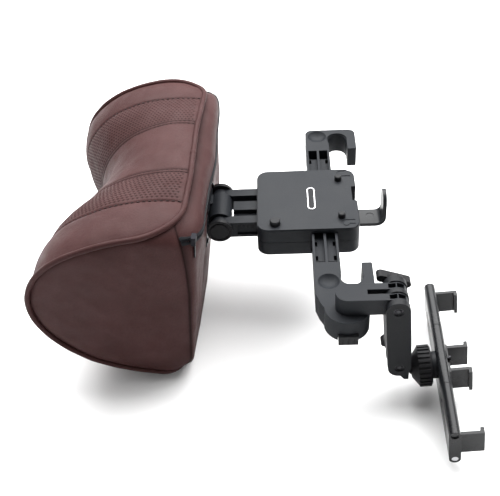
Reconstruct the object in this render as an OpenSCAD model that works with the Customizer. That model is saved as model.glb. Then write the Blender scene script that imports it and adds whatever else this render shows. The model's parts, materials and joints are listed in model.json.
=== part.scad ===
// Headrest neck pillow on a post clamp, with a bag hook and a folding device holder.
// Frame: origin at the centre of the housing's underside, +Z up along the headrest posts,
// -X towards the sitter (the pillow), +X behind the seat, +Y to the sitter's right.

/* [Housing] */
// Width of the housing across the pillow arm's travel
housing_x = 80; // [76:1:84]
// Length of the housing along the post arms' travel
housing_y = 75; // [74:1:80]
// Height of the housing
housing_z = 25; // [25:0.5:27]
// Wall thickness of both housing shells
wall = 2.4; // [2:0.2:2.8]

/* [Post arms] */
// Distance from the middle to each headrest post
post_y = 85.7; // [82:0.5:95]
// Radius of the headrest post bore
post_r = 8; // [6:0.5:8]
// Thickness of a post arm
post_arm_z = 18.4; // [17:0.2:18.4]

/* [Pillow] */
// Width of the pillow from end to end
pillow_w = 196; // [180:2:220]
// Height of the pillow at its back
pillow_h = 152; // [130:2:160]
// Depth of the pillow at its two ends
pillow_end_d = 121; // [100:1:125]
// Depth of the pillow at its waist
pillow_waist_d = 84; // [70:1:95]
// Backward lean of the pillow
pillow_lean = 4; // [0:1:6]

/* [Holder] */
// Length of the holder rail with both slides closed
holder_len = 146; // [138:1:160]
// Height of the holder rail
holder_z = 35; // [32:1:38]
// Reach of the claws in front of the rail
claw_reach = 16.8; // [12:0.2:20]

/* [Link] */
// Distance between the two hinge axes of the hanging link
link_len = 59; // [50:1:70]
// Forward tilt of the hanging link
link_tilt = 4.2; // [0:0.2:6]
// Backward pitch of the holder on its ball
holder_pitch = 6; // [0:0.5:8]

/* [Hidden] */

$fn = 48;
eps = 0.01;
gap = 0.3;
fit = 0.05;

black = [0.13, 0.13, 0.14];
dark = [0.09, 0.09, 0.10];
steel = [0.72, 0.73, 0.75];
leather = [0.36, 0.24, 0.23];

// Housing
housing_r = 9;
split_z = 12.35;
shell_gap = 0.15;
screw_x = 34.6;
screw_y = 31;
screw_r = 1.3;
screw_head_r = 2.5;
screw_len = 15;
boss_r = 3.4;
notch_y0 = -3.5;
notch_y1 = 14;
notch_d = 3.8;
notch_floor = 4;

// Release buttons
arm_button = [-25.8, -29.5];
arm_button_r = 4.1;
pin_button_x = 26.3;
pin_button_y = 23.3;
pin_button_r = 2.8;
button_proud = 4;
button_flange_t = 1.6;
button_lip = 0.9;
tooth_z0 = 14.2;
tooth_z1 = 17.2;
guide_r = 1.1;

// Post arms
arm_x0 = 2.2;
arm_x1 = 22;
arm_z0 = 2.4;
arm_z1 = arm_z0 + post_arm_z;
arm_in_y = 17;
hook_x1 = 45.5;
post_x = 29.4;
finger_y = 71.5;
hook_y = 100;
rail_wall = 1.9;
rail_mid = 12.1;
rail_rib = 2;
rail_depth = 5;
notch_w = 2;
pocket_depth = 9;
rack_pitch = 4;
rack_depth = 1.4;
rack_z0 = 8;
rack_z1 = 18.6;
rack_rib_z = 13.4;
dimple_r = 8;
dimple_sphere = 11;
dimple_z = arm_z1 + sqrt(pow(dimple_sphere, 2) - pow(dimple_r, 2));

// Swivel boss and tablet arm
pivot = [23.9, -117];
boss_big_r = 16.3;
stud_r = 6;
stud_z0 = 4.6;
groove_z0 = 6.2;
groove_z1 = 8.4;
groove_r = 4.2;
tab_x = 7;
tab_y = -135.3;
tab_travel = 1.8;
tablet_z0 = arm_z1 + 0.1;
tablet_t = 14.4;
tablet_z1 = tablet_z0 + tablet_t;
tablet_r = 8.6;
slot_x = 37.6;

// Link
hinge_x = 58.1;
hinge_z = tablet_z0 + tablet_t / 2;
low_x = hinge_x + link_len * sin(link_tilt);
low_z = hinge_z - link_len * cos(link_tilt);
link_r = 8.6;
link_y0 = pivot.y - 14;
link_y1 = pivot.y + 14;
ear_in = 2.2;
ear_out = 8.6;
ear_r = 7.8;
web_r = 9;
bolt_r = 2.4;
knob_y = link_y1 + gap;
knob_hub_r = 7;
wing_r = 13.2;
wing_t = 6;

// Ball joint
ball = [77, pivot.y, -45.3];
ball_r = 7;
ball_gap = 0.1;
neck_r = 3.6;
nut_x0 = 73.4;
nut_x1 = 78.5;
nut_x2 = 88.4;
nut_r = 14.6;
nut_rib = 1;
nut_ribs = 26;
cup_r = 9.3;
holder_yaw = -1;

// Holder
rail_x0 = 92;
rail_x1 = 100.4;
rail_cx = (rail_x0 + rail_x1) / 2;
rail_r = (rail_x1 - rail_x0) / 2;
rail_y = pivot.y + 1.4;
rail_top = -33.4;
rail_bottom = rail_top - holder_z;
rail_z = rail_top - holder_z / 2;
body_half = 28.4;
end_y = holder_len / 2;
claw_t = 2.6;
claw_h = 20.5;
claw_top = rail_z + claw_h / 2;
lip = 3;
inner_claw_y = 11;
outer_claw_y = end_y - 4.5;
tongue_t = 3.4;
tongue_h = 14;
tongue_len = 25;
tongue_gap = 0.15;
spring_z = 10.5;
spring_r = 1.5;

// Pillow
pin_x = -69.8;
pin_z = 14;
pillow_x = -83;
pillow_z = 5.5;
pillow_yaw = -4.6;
end_flare = 4.7;
zip_x = 4.9;
zip_y = -94.5;
zip_z = 61.5;
zip_pin_r = 0.5;
barrel_r = 9.4;
barrel_y = 13.4;
lug_r = 7;
cap_r = 10.2;
cap_t = 3;
rail_out_y = 21.3;
rail_in_y = 12.6;
pillow_arm_z0 = 5.5;
pillow_arm_z1 = 20;
pillow_arm_end = -17.5;
cover_t = 1.6;
board_t = 4;
block_x = pillow_x + 2.6;
flange_gap = 0.15;
flange_t = 3.8;
flange_y = 20.5;
flange_z0 = -10.5;
flange_z1 = 27.5;

// ---------- shared shapes ----------

module rounded_rect(x0, y0, x1, y1, r) {
    translate([x0 + r, y0]) square([x1 - x0 - 2 * r, y1 - y0]);
    translate([x0, y0 + r]) square([x1 - x0, y1 - y0 - 2 * r]);
    for (x = [x0 + r, x1 - r], y = [y0 + r, y1 - r]) translate([x, y]) circle(r);
}

module box(x0, x1, y0, y1, z0, z1) {
    translate([x0, y0, z0]) cube([x1 - x0, y1 - y0, z1 - z0]);
}

// A cylinder along Y from y0 to y1
module rod_y(x, z, y0, y1, r) {
    translate([x, y0, z]) rotate([-90, 0, 0]) cylinder(r = r, h = y1 - y0);
}

// A cylinder along X from x0 to x1
module rod_x(y, z, x0, x1, r, r2 = -1) {
    translate([x0, y, z]) rotate([0, 90, 0]) cylinder(r1 = r, r2 = r2 < 0 ? r : r2, h = x1 - x0);
}

module coil(r, wire, z0, z1, turns) {
    pitch = (z1 - z0 - 2 * wire) / (turns - 1);
    for (i = [0 : turns - 1]) {
        translate([0, 0, z0 + wire + i * pitch]) rotate_extrude($fn = 32)
            translate([r, 0]) circle(wire, $fn = 16);
    }
    translate([r, 0, z0 + wire]) cylinder(r = wire * 0.6, h = z1 - z0 - 2 * wire, $fn = 16);
}

// Turns its children with the holder about the ball's centre
module on_ball() {
    translate(ball) rotate([0, -holder_pitch, holder_yaw]) translate(-ball) children();
}

module in_link_frame() {
    translate([hinge_x, 0, hinge_z]) rotate([0, -link_tilt, 0]) children();
}

// ---------- housing ----------

module housing_outline(inset) {
    rounded_rect(-housing_x / 2 + inset, -housing_y / 2 + inset, housing_x / 2 - inset,
        housing_y / 2 - inset, housing_r - inset);
}

module housing_openings() {
    box(arm_x0 - gap, arm_x1 + gap, -housing_y, housing_y, arm_z0 - gap, arm_z1 + gap);
    box(-housing_x, -housing_x / 2 + wall + 1, -rail_out_y - gap, rail_out_y + gap,
        pillow_arm_z0 - gap, pillow_arm_z1 + gap);
    box(housing_x / 2 - notch_d, housing_x, notch_y0, notch_y1, notch_floor, housing_z + 1);
}

module notch_wall() {
    box(housing_x / 2 - notch_d - wall, housing_x / 2 - 0.5, notch_y0 - wall, notch_y1 + wall,
        notch_floor - wall, housing_z - eps);
}

module screw_spots() {
    for (x = [-screw_x, screw_x], y = [-screw_y, screw_y]) translate([x, y]) children();
}

// Hook-shaped sign beside each pin button
module hook_sign() {
    difference() {
        circle(4.2);
        circle(2.4);
        translate([0, -6]) square([6, 6.1]);
    }
    translate([0, -4.2]) square([7, 1.8]);
    translate([0, 2.4]) square([4, 1.8]);
    translate([3, 0.4]) square([4.2, 5]);
}

module housing_top() {
    color(black) difference() {
        union() {
            difference() {
                translate([0, 0, split_z + shell_gap]) linear_extrude(housing_z - split_z - shell_gap - 1)
                    housing_outline(0);
                translate([0, 0, split_z - 1]) linear_extrude(housing_z - wall - split_z + 1)
                    housing_outline(wall);
            }
            translate([0, 0, housing_z - 1 - eps]) linear_extrude(1 + eps) housing_outline(0.5);
            intersection() {
                notch_wall();
                translate([0, 0, split_z + shell_gap]) linear_extrude(housing_z) housing_outline(0.5);
            }
            screw_spots() translate([0, 0, split_z + shell_gap])
                cylinder(r = boss_r, h = housing_z - wall - split_z);
            translate([arm_button.x, arm_button.y, housing_z - 5]) cylinder(r = arm_button_r + 1.8, h = 4);
            for (s = [-1, 1]) translate([pin_button_x, s * pin_button_y, housing_z - 5])
                cylinder(r = pin_button_r + 1.3, h = 4);
        }
        housing_openings();
        screw_spots() translate([0, 0, 2]) cylinder(r = screw_r - fit, h = 18);
        translate([arm_button.x, arm_button.y, 0]) cylinder(r = arm_button_r + 0.08, h = 40);
        for (s = [-1, 1]) {
            translate([pin_button_x, s * pin_button_y, 0]) cylinder(r = pin_button_r + 0.08, h = 40);
        }
        translate([29.5, 31, housing_z - 0.4]) linear_extrude(1) hook_sign();
        translate([29.5, -31, housing_z - 0.4]) linear_extrude(1) mirror([0, 1]) hook_sign();
        translate([3.4, 0, housing_z - 0.5]) linear_extrude(1) badge_outline(0.15);
    }
}

module housing_bottom() {
    color(dark) difference() {
        union() {
            difference() {
                linear_extrude(split_z - shell_gap) housing_outline(0);
                translate([0, 0, 2]) linear_extrude(housing_z) housing_outline(wall);
            }
            intersection() {
                notch_wall();
                linear_extrude(split_z - shell_gap) housing_outline(0.5);
            }
            screw_spots() cylinder(r = boss_r, h = split_z - shell_gap);
            translate([arm_button.x, arm_button.y, 0]) cylinder(r = guide_r, h = 9);
            for (s = [-1, 1]) translate([pin_button_x, s * pin_button_y, 0]) cylinder(r = guide_r, h = 9);
            box(-30, -6, 22.3, 24.3, 1, split_z - shell_gap);
            box(27, housing_x / 2 - 1, -18.6, 2, 1, 8.4);
        }
        housing_openings();
        screw_spots() {
            translate([0, 0, -1]) cylinder(r = screw_head_r + 0.2, h = 3.4);
            cylinder(r = screw_r + 0.2, h = 40);
        }
        box(30, housing_x, -17.6, 0.6, 8.7, 12.1);
        translate([33.5, -8.5, 3]) cylinder(r = screw_r - fit, h = 12);
    }
}

module housing_screws() {
    color(steel) screw_spots() {
        translate([0, 0, 0.6]) difference() {
            cylinder(r = screw_head_r, h = 1.8);
            translate([0, 0, -1]) cylinder(r = 1, h = 2, $fn = 6);
        }
        translate([0, 0, 2]) cylinder(r = screw_r - fit, h = screw_len);
    }
}

module badge_outline(grow) {
    r = 3.1 + grow;
    end = 10.5;
    for (s = [-1, 1]) translate([0, s * end]) circle(r);
    translate([-r, -end]) square([2 * r, 2 * end]);
}

// Plain pill-shaped badge with a raised rim and three bars
module badge_plate() {
    color(steel) translate([3.4, 0, housing_z - 0.5]) {
        linear_extrude(0.6) badge_outline(0);
        linear_extrude(1) difference() {
            badge_outline(0);
            badge_outline(-0.9);
        }
        for (y = [-7, 0, 7]) translate([-0.5, y - 2.4, 0]) cube([1, 4.8, 1]);
    }
}

// ---------- release buttons ----------

// The tooth faces +X before rotation and stands at reach from the button's middle
module release_button(r, reach, tooth_w) {
    top = housing_z + button_proud;
    difference() {
        union() {
            translate([0, 0, housing_z - wall - 3]) cylinder(r = r, h = top - 0.6 - housing_z + wall + 3);
            translate([0, 0, top - 0.6 - eps]) cylinder(r1 = r, r2 = r - 0.6, h = 0.6);
            translate([0, 0, housing_z - 5.2 - button_flange_t])
                cylinder(r = r + button_lip, h = button_flange_t);
            translate([0, 0, 11]) cylinder(r = r - 0.3, h = 9);
            box(0, reach, -tooth_w / 2, tooth_w / 2, tooth_z0, tooth_z1);
        }
        translate([0, 0, 0]) cylinder(r = guide_r + 0.25, h = 16);
    }
}

module arm_release_button() {
    color(dark) translate([arm_button.x, arm_button.y, 0]) rotate([0, 0, 90])
        release_button(arm_button_r, -rail_out_y - arm_button.y - 0.35, 2.2);
}

module pin_release(s) {
    color(dark) translate([pin_button_x, s * pin_button_y, 0]) rotate([0, 0, 180])
        release_button(pin_button_r, pin_button_x - arm_x1 - 0.35, 2.2);
}

module right_release_button() {
    pin_release(1);
}

module left_release_button() {
    pin_release(-1);
}

module release_spring(r) {
    color(steel) coil(r, 0.35, 2.05, 10.95, 6);
}

module arm_release_spring() {
    translate([arm_button.x, arm_button.y, 0]) release_spring(2.4);
}

module right_release_spring() {
    translate([pin_button_x, pin_button_y, 0]) release_spring(1.9);
}

module left_release_spring() {
    translate([pin_button_x, -pin_button_y, 0]) release_spring(1.9);
}

// ---------- bag hook ----------

module bag_hook() {
    hook_w = 17.4;
    yc = -8.5;
    z0 = 8.9;
    t = 3;
    bend = 5;
    blade_x = 58.8;
    color(black) difference() {
        union() {
            box(30.3, blade_x + t - bend - t, yc - hook_w / 2, yc + hook_w / 2, z0, z0 + t);
            intersection() {
                translate([blade_x - bend, yc - hook_w / 2, z0 + t + bend]) rotate([-90, 0, 0])
                    difference() {
                        cylinder(r = bend + t, h = hook_w);
                        translate([0, 0, -1]) cylinder(r = bend, h = hook_w + 2);
                    }
                box(blade_x - bend, blade_x + t, yc - hook_w, yc + hook_w, z0, z0 + t + bend);
            }
            translate([blade_x, yc, z0 + t + bend]) rotate([90, 0, 90]) linear_extrude(t) {
                translate([-hook_w / 2, 0]) square([hook_w, 12]);
                translate([0, 12]) circle(hook_w / 2);
            }
        }
        translate([50, yc + 1, z0 + t - 0.3]) cylinder(r = 3.2, h = 1);
        translate([33.5, yc, z0 - 1]) cylinder(r = screw_r + 0.2, h = 10);
    }
}

module bag_hook_screw() {
    color(steel) translate([33.5, -8.5, 0]) {
        translate([0, 0, 4]) cylinder(r = screw_r - fit, h = 8);
        translate([0, 0, 11.95]) cylinder(r = screw_head_r, h = 1.6);
    }
}

// ---------- pillow arm and hinge ----------

module pillow_arm() {
    color(black) difference() {
        union() {
            for (s = [-1, 1]) {
                y0 = s > 0 ? rail_in_y : -rail_out_y;
                y1 = s > 0 ? rail_out_y : -rail_in_y;
                box(pin_x + 3, pillow_arm_end, y0, y1, pillow_arm_z0, pillow_arm_z1);
                rod_y(pin_x, pin_z, y0 + (s > 0 ? 1.2 : 0), y1 - (s > 0 ? 0 : 1.2), lug_r);
            }
            box(pin_x + barrel_r + 1.2, pillow_arm_end, -rail_in_y - 1, rail_in_y + 1, 7.5, 13);
            box(pin_x + barrel_r + 1.2, pillow_arm_end, -1.6, 9.4, 7.5, 17);
            box(pillow_arm_end - 3, pillow_arm_end, -rail_out_y, rail_out_y, pillow_arm_z0, 17);
        }
        rod_y(pin_x, pin_z, -40, 40, 3 + fit);
        rod_y(pin_x, pin_z, -barrel_y - 0.4, barrel_y + 0.4, barrel_r + 0.6);
        rack_cuts();
    }
}

// Notches between the ribs on the pillow arm's left side, over a clear channel
module rack_cuts() {
    depth = rack_depth + 0.4;
    for (x = [-56 : rack_pitch : -20]) {
        box(x, x + rack_pitch - 1.6, -30, -rail_out_y + depth, rack_rib_z - eps, 18.2);
    }
    box(-56, -18.5, -30, -rail_out_y + depth, 8, rack_rib_z);
}

module hinge_pin() {
    color(steel) rod_y(pin_x, pin_z, -22.4, 22.4, 3);
}

module hinge_caps() {
    color(dark) for (s = [-1, 1]) {
        y0 = s > 0 ? rail_out_y + 0.05 : -rail_out_y - 0.05 - cap_t;
        face = s > 0 ? y0 + cap_t : y0;
        difference() {
            rod_y(pin_x, pin_z, y0, y0 + cap_t, cap_r);
            rod_y(pin_x, pin_z, -22.5, 22.5, 3 + fit);
            difference() {
                rod_y(pin_x, pin_z, face - 0.8, face + 0.8, 8.6);
                rod_y(pin_x, pin_z, face - 2, face + 2, 7);
            }
        }
    }
}

module pillow_bracket() {
    color(black) difference() {
        union() {
            rod_y(pin_x, pin_z, -barrel_y, barrel_y, barrel_r);
            box(block_x, pin_x, -barrel_y, barrel_y, pin_z - 8, pin_z + 2);
            box(block_x, pin_x - 1, 2, barrel_y, pin_z, pin_z + 7.5);
            in_pillow() box(flange_gap, flange_t, -flange_y, flange_y, flange_z0, flange_z1);
        }
        rod_y(pin_x, pin_z, -40, 40, 3 + fit);
        bracket_screw_spots(-1, 6, screw_r + 0.2);
    }
}

module bracket_screw_spots(x0, x1, r) {
    in_pillow() for (y = [-17, 17], z = [flange_z0 + 4, flange_z1 - 4]) rod_x(y, z, x0, x1, r);
}

module bracket_screws() {
    color(steel) {
        bracket_screw_spots(-5.6, flange_t + 0.2, screw_r - fit);
        bracket_screw_spots(flange_t + 0.03, flange_t + 1.4, screw_head_r - 0.3);
    }
}

// ---------- pillow ----------

// Places its children in the pillow's own frame: x = 0 at its back, y = 0 and z = 0 in its middle
module in_pillow() {
    translate([pillow_x, 0, pillow_z]) rotate([0, pillow_lean, pillow_yaw]) children();
}

// Depth of the pillow at a distance y from its middle
function depth_at(y) =
    pillow_waist_d + (pillow_end_d - pillow_waist_d) * pow(sin(min(90, 200 * abs(y) / pillow_w)), 2);

module pillow_slice(y, inset, turn = 0) {
    steps = 20;
    round_x = 12;
    d = depth_at(y) - round_x - inset;
    h = pillow_h / 2 - inset;
    corner = h * 0.86;
    front = [
        for (i = [0 : steps]) let (a = 90 + 180 * i / steps) [-round_x + d * cos(a), h * sin(a)]
    ];
    translate([0, y, 0]) rotate([0, 0, turn]) rotate([90, 0, 0]) linear_extrude(0.2, center = true)
        polygon(concat([[-inset, -corner], [-inset, corner]], front));
}

// The left end leans out towards the front
module pillow_form(inset) {
    count = 12;
    half = pillow_w / 2 - inset;
    for (i = [0 : count - 1]) hull() {
        pillow_slice(-half + 2 * half * i / count, inset, i == 0 ? end_flare : 0);
        pillow_slice(-half + 2 * half * (i + 1) / count, inset);
    }
}

module pillow_back_board() {
    color(dark) difference() {
        in_pillow() box(-cover_t - board_t, -cover_t - 0.1, -60, 60, -50, 50);
        bracket_screw_spots(-30, 10, screw_r - fit);
    }
}

module pillow_foam() {
    color("khaki") in_pillow() difference() {
        pillow_form(cover_t + 0.2);
        box(-cover_t - board_t - 0.1, 1, -60.2, 60.2, -50.2, 50.2);
    }
}

module pillow_cover() {
    color(leather) difference() {
        in_pillow() difference() {
            pillow_form(0);
            pillow_form(cover_t);
        }
        bracket_screw_spots(-cover_t - 1, 1, screw_r);
    }
}

// Black tape along the back's top edge, doubled under the slider at its left end
module zipper_tape() {
    color(dark) in_pillow() {
        box(0.05, 0.9, -pillow_w / 2, pillow_w / 2, 56, 63);
        box(0.05, 2.4, -pillow_w / 2, zip_y + 3.5, 56, 65);
    }
}

module zipper_slider() {
    color(dark) in_pillow() difference() {
        box(2.45, 5.9, zip_y - 3, zip_y + 3, zip_z - 1, zip_z + 6);
        box(3.4, 6.5, zip_y - 2, zip_y + 2, zip_z - 3, zip_z + 1.4);
        rod_y(zip_x, zip_z, zip_y - 2.6, zip_y + 2.6, zip_pin_r + 0.1);
    }
}

module zipper_pull() {
    color(dark) in_pillow() {
        rod_y(zip_x, zip_z, zip_y - 2.5, zip_y + 2.5, zip_pin_r);
        box(zip_x - 0.4, zip_x + 0.4, zip_y - 1.6, zip_y + 1.6, zip_z - 13.5, zip_z + 0.7);
    }
}

// ---------- post arms ----------

// Outline of the right post arm, seen from above
module post_arm_outline() {
    difference() {
        union() {
            translate([arm_x0, arm_in_y]) square([arm_x1 - arm_x0, hook_y - 14 - arm_in_y]);
            rounded_rect(arm_x0, hook_y - 22, hook_x1, hook_y, 6);
            translate([arm_x0, hook_y - 22]) square([12, 12]);
            rounded_rect(post_x + post_r, finger_y, hook_x1, hook_y - 8, 1.2);
        }
        translate([post_x, post_y]) circle(post_r, $fn = 96);
        translate([arm_x1, finger_y - 10]) square([post_x + post_r + 0.4 - arm_x1, post_y - finger_y + 10]);
    }
}

module post_arm_cuts() {
    for (x = [[arm_x0 + rail_wall, rail_mid - rail_rib / 2], [rail_mid + rail_rib / 2, arm_x1 - rail_wall]]) {
        box(x[0], x[1], arm_in_y - 1, 69.8, arm_z1 - rail_depth, arm_z1 + 1);
        box(x[0], x[1], 64, 69.8, arm_z1 - pocket_depth, arm_z1 + 1);
    }
    for (y = [26 : 16 : 58], x = [arm_x0 + rail_wall, arm_x1 - rail_wall - notch_w]) {
        box(x, x + notch_w, y, y + 5, arm_z1 - pocket_depth, arm_z1);
    }
    for (y = [arm_in_y + 2 : rack_pitch : 50]) {
        box(arm_x1 - rack_depth, arm_x1 + 1, y, y + rack_pitch - 1.6, rack_rib_z - eps, rack_z1);
    }
    box(arm_x1 - rack_depth, arm_x1 + 1, arm_in_y + 2, 50.4, rack_z0, rack_rib_z);
    translate([post_x, post_y, arm_z1 - 1.2]) cylinder(r = post_r + 0.7, h = 2);
    translate([12.4, hook_y - 9.6, dimple_z]) sphere(dimple_sphere);
}

module post_arm_body() {
    difference() {
        translate([0, 0, arm_z0]) linear_extrude(post_arm_z) post_arm_outline();
        post_arm_cuts();
    }
}

module right_post_arm() {
    color(black) post_arm_body();
}

module boss_outline() {
    translate(pivot) circle(boss_big_r, $fn = 96);
    polygon([
        [arm_x0, -92], [arm_x0, -103], [arm_x0 + 2.4, pivot.y + 6], [pivot.x - boss_big_r, pivot.y],
        [pivot.x + boss_big_r, pivot.y], [pivot.x + boss_big_r, -95], [post_x, -95]
    ]);
}

module left_post_arm() {
    color(black) difference() {
        union() {
            mirror([0, 1, 0]) post_arm_body();
            translate([0, 0, arm_z0]) linear_extrude(post_arm_z) difference() {
                boss_outline();
                translate([0, -95]) square([60, 40]);
            }
        }
        translate([pivot.x, pivot.y, 4.3]) cylinder(r = stud_r + fit, h = 40);
        translate([pivot.x, 0, 0]) {
            box(-tab_x - gap, tab_x + gap, -140, -128.8, -1, 9.2);
            box(-tab_x - gap, tab_x + gap, -131, -104.4, 6.2, 8.4);
        }
        translate([12.4, 9.6 - hook_y, dimple_z]) sphere(dimple_sphere);
    }
}

module swivel_stud() {
    color(steel) translate([pivot.x, pivot.y, 0]) difference() {
        translate([0, 0, stud_z0]) cylinder(r = stud_r, h = tablet_z0 + 8 - stud_z0);
        translate([0, 0, groove_z0]) difference() {
            cylinder(r = stud_r + 1, h = groove_z1 - groove_z0);
            translate([0, 0, -1]) cylinder(r = groove_r, h = 5);
        }
    }
}

// Pushed in, its round hole comes over the stud and frees it
module pivot_release_tab() {
    color(dark) translate([pivot.x, 0, 0]) difference() {
        union() {
            box(-tab_x, tab_x, tab_y, -131, 1, 9);
            box(-tab_x, tab_x, -132, -108, 6.4, 8.2);
        }
        translate([0, pivot.y - tab_travel, 0]) cylinder(r = stud_r + 0.15, h = 20);
        for (x = [-4, 0, 4]) box(x - 0.6, x + 0.6, tab_y - 1, tab_y + 0.5, 2, 8);
    }
}

module pivot_release_spring() {
    color(steel) translate([pivot.x, -104.45, 7.3]) rotate([90, 0, 0]) coil(0.7, 0.22, 0, 3.5, 5);
}

// ---------- tablet arm and link ----------

// Two ears on a hinge axis along Y
module hinge_ears(x, z, r) {
    for (s = [-1, 1]) {
        y0 = pivot.y + (s > 0 ? ear_in : -ear_out);
        rod_y(x, z, y0, y0 + ear_out - ear_in, r);
    }
}

module tablet_arm() {
    color(black) difference() {
        union() {
            translate([pivot.x, pivot.y, tablet_z0]) linear_extrude(tablet_t) {
                circle(tablet_r);
                translate([0, -tablet_r]) square([hinge_x - pivot.x - 6.5, 2 * tablet_r]);
            }
            hinge_ears(hinge_x, hinge_z, ear_r);
            for (s = [-1, 1]) {
                y0 = pivot.y + (s > 0 ? ear_in : -ear_out);
                box(hinge_x - 8, hinge_x, y0, y0 + ear_out - ear_in, tablet_z0, tablet_z1);
            }
        }
        box(slot_x, 80, pivot.y - ear_in, pivot.y + ear_in, 0, 50);
        rod_y(hinge_x, hinge_z, -140, -90, bolt_r + fit);
        for (s = [-1, 1], x = [hinge_x - 5.6, hinge_x + 0.4]) {
            y = pivot.y + s * (ear_in + ear_out) / 2;
            box(x, x + 5.2, y - 2.1, y + 2.1, hinge_z + 4, 40);
        }
        translate([pivot.x, pivot.y, tablet_z0 - 1]) cylinder(r = stud_r + fit, h = 9.2);
    }
}

module link_slots(z0, z1) {
    for (s = [-1, 1]) {
        y0 = pivot.y + (s > 0 ? ear_in - gap : -ear_out - gap);
        box(-20, 20, y0, y0 + ear_out - ear_in + 2 * gap, z0, z1);
    }
}

module link() {
    color(black) in_link_frame() difference() {
        union() {
            rod_y(0, 0, link_y0, link_y1, link_r);
            rod_y(0, -link_len, link_y0, link_y1, link_r);
            box(-link_r, link_r, link_y0, link_y1, -link_len, 0);
        }
        link_slots(-web_r, 20);
        link_slots(-link_len - 20, -link_len + web_r);
        for (z = [0, -link_len]) {
            rod_y(0, z, link_y0 - 1, link_y1 + 1, bolt_r + fit);
            rod_y(0, z, link_y0 - 1, link_y0 + 4.2, 3.6 + fit);
        }
    }
}

module insert_at(x, z) {
    color(steel) difference() {
        rod_y(x, z, link_y0 + 0.8, link_y0 + 4.2, 3.6);
        rod_y(x, z, link_y0 - 1, link_y0 + 6, bolt_r + fit);
    }
}

module bolt_at(x, z) {
    color(steel) {
        rod_y(x, z, link_y0 + 1.4, knob_y + 5, bolt_r);
        translate([x, link_y0 + 1.45, z]) rotate([90, 0, 0])
            cylinder(r1 = bolt_r, r2 = bolt_r - 0.8, h = 0.8);
    }
}

module knob_at(x, z, turn) {
    color(dark) difference() {
        union() {
            rod_y(x, z, knob_y, knob_y + 4.4, knob_hub_r);
            translate([x, knob_y + 9, z]) rotate([90, turn, 0]) linear_extrude(6.8) {
                for (s = [-1, 1]) translate([s * (wing_r - wing_t / 2), 0]) circle(wing_t / 2);
                translate([wing_t / 2 - wing_r, -wing_t / 2]) square([2 * wing_r - wing_t, wing_t]);
            }
        }
        rod_y(x, z, knob_y - 1, knob_y + 5.1, bolt_r + 0.02);
    }
}

module upper_insert() {
    insert_at(hinge_x, hinge_z);
}

module lower_insert() {
    insert_at(low_x, low_z);
}

module upper_bolt() {
    bolt_at(hinge_x, hinge_z);
}

module lower_bolt() {
    bolt_at(low_x, low_z);
}

module upper_knob() {
    knob_at(hinge_x, hinge_z, 20);
}

module lower_knob() {
    knob_at(low_x, low_z, -45);
}

// ---------- ball joint ----------

module ball_lug() {
    side = [0.89 * ear_r, 0.457 * ear_r];
    web_x0 = low_x + 5.1;
    web_x1 = low_x + 8.3;
    web_half = 4.4;
    color(black) difference() {
        union() {
            hinge_ears(low_x, low_z, ear_r);
            for (s = [-1, 1]) {
                y1 = pivot.y + (s > 0 ? ear_out : -ear_in);
                translate([0, y1, 0]) rotate([90, 0, 0]) linear_extrude(ear_out - ear_in) polygon([
                    [low_x + side.x, low_z + side.y], [web_x1, ball.z + web_half], [web_x1, ball.z - web_half],
                    [web_x0, ball.z - web_half], [low_x - side.x, low_z - side.y]
                ]);
            }
            box(web_x0, web_x1, pivot.y - ear_out, pivot.y + ear_out, ball.z - web_half, ball.z + web_half);
            rod_x(ball.y, ball.z, web_x1 - 1, ball.x, neck_r);
            translate(ball) sphere(ball_r);
        }
        rod_y(low_x, low_z, -140, -90, bolt_r + fit);
    }
}

module collar_nut() {
    bore_r = 5.9;
    color(dark) on_ball() translate([0, ball.y, ball.z]) {
        rotate([0, 90, 0]) rotate_extrude($fn = 64) difference() {
            polygon([
                [bore_r, nut_x0], [8, nut_x0], [nut_r, nut_x1], [nut_r, nut_x2 - 0.8],
                [nut_r - 0.8, nut_x2], [bore_r, nut_x2]
            ]);
            translate([0, ball.x]) circle(ball_r + ball_gap);
            translate([0, nut_x1 - 0.6]) square([cup_r + 0.12, 20]);
        }
        for (i = [0 : nut_ribs - 1]) rotate([i * 360 / nut_ribs, 0, 0])
            box(nut_x1 + 0.2, nut_x2 - 1, -0.9, 0.9, nut_r - 1, nut_r + nut_rib);
    }
}

module holder_socket() {
    color(black) on_ball() difference() {
        union() {
            rod_x(ball.y, ball.z, nut_x1 + 0.4, rail_x0, cup_r);
            rod_x(ball.y, ball.z, nut_x2 + 0.4, rail_x0, cup_r + 0.9);
        }
        translate(ball) sphere(ball_r + ball_gap);
        socket_screw_spots(86, 110, screw_r - fit);
    }
}

module socket_screw_spots(x0, x1, r) {
    for (s = [-1, 1]) rod_x(pivot.y, ball.z + s * 6.2, x0, x1, r);
}

module socket_screws() {
    color(steel) on_ball() {
        socket_screw_spots(86.5, rail_x1 + 1.6, screw_r - fit - 0.02);
        socket_screw_spots(rail_x1 + 1.55, rail_x1 + 2.6, screw_head_r - 0.4);
    }
}

// ---------- holder ----------

// Section of the rail, drawn in X and Z and run along Y from y0 to y1
module rail_section(y0, y1) {
    translate([rail_cx, y1, 0]) rotate([90, 0, 0]) linear_extrude(y1 - y0) {
        translate([0, rail_top - rail_r]) circle(rail_r);
        translate([0, rail_bottom + rail_r]) circle(rail_r);
        translate([-rail_r, rail_bottom + rail_r]) square([2 * rail_r, holder_z - 2 * rail_r]);
    }
}

module claw(y, dir) {
    base = rail_x1 - 1;
    tip = rail_x1 + claw_reach;
    box(base, tip, y - claw_t / 2, y + claw_t / 2, claw_top - claw_h, claw_top);
    box(tip - claw_t, tip, min(y, y + dir * (lip + claw_t / 2)), max(y, y + dir * (lip + claw_t / 2)),
        claw_top - claw_h, claw_top);
}

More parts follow.
